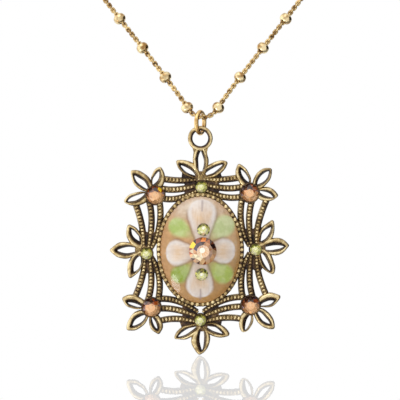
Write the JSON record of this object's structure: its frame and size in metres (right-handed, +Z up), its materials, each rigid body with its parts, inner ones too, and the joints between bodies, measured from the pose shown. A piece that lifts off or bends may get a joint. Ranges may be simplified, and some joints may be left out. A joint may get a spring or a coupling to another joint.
{
  "type": "necklace with pendant",
  "caption": "Satellite-chain necklace with a pierced antique-brass pendant, an oval painted cabochon and small cut crystals.",
  "frame": {"origin": "the point at the nape where the necklace sits on the neck, on the clasp's inner side", "axes": "+X to the right seen from the front, the front faces -Y, +Z up"},
  "size_m": [0.1188, 0.1293, 0.1593],
  "materials": {
    "gold_chain": "polished",
    "gold_beads": "polished",
    "gold_clasp": "polished",
    "gold_ring": "polished",
    "antique_brass": "antique",
    "painted_cabochon": "gloss",
    "amber_crystal": "cut",
    "topaz_crystal": "cut",
    "green_crystal": "cut"
  },
  "bodies": {
    "neck_chain": {"chain": "gold_chain", "chain_beads": "gold_beads", "clasp": "gold_clasp"},
    "ring": {"jump_ring": "gold_ring"},
    "pendant": {"pendant_frame": "antique_brass", "cabochon": "painted_cabochon", "centre_stone": "amber_crystal", "cabochon_stone_upper": "green_crystal", "cabochon_stone_lower": "green_crystal", "corner_stone_upper_left": "topaz_crystal", "corner_stone_upper_right": "topaz_crystal", "corner_stone_lower_left": "topaz_crystal", "corner_stone_lower_right": "topaz_crystal", "side_stone_top": "green_crystal", "side_stone_right": "green_crystal", "side_stone_bottom": "green_crystal", "side_stone_left": "green_crystal"}
  },
  "joints": [
    {"name": "ring_swing", "type": "hinge", "parent": "neck_chain", "child": "ring", "pos_m": [0, -0.12, -0.104], "axis": [1, 0, 0], "range_deg": [-60, 60]},
    {"name": "pendant_swing", "type": "hinge", "parent": "ring", "child": "pendant", "pos_m": [-0.00055, -0.12, -0.10763], "axis": [0, 1, 0], "range_deg": [-60, 60]}
  ]
}
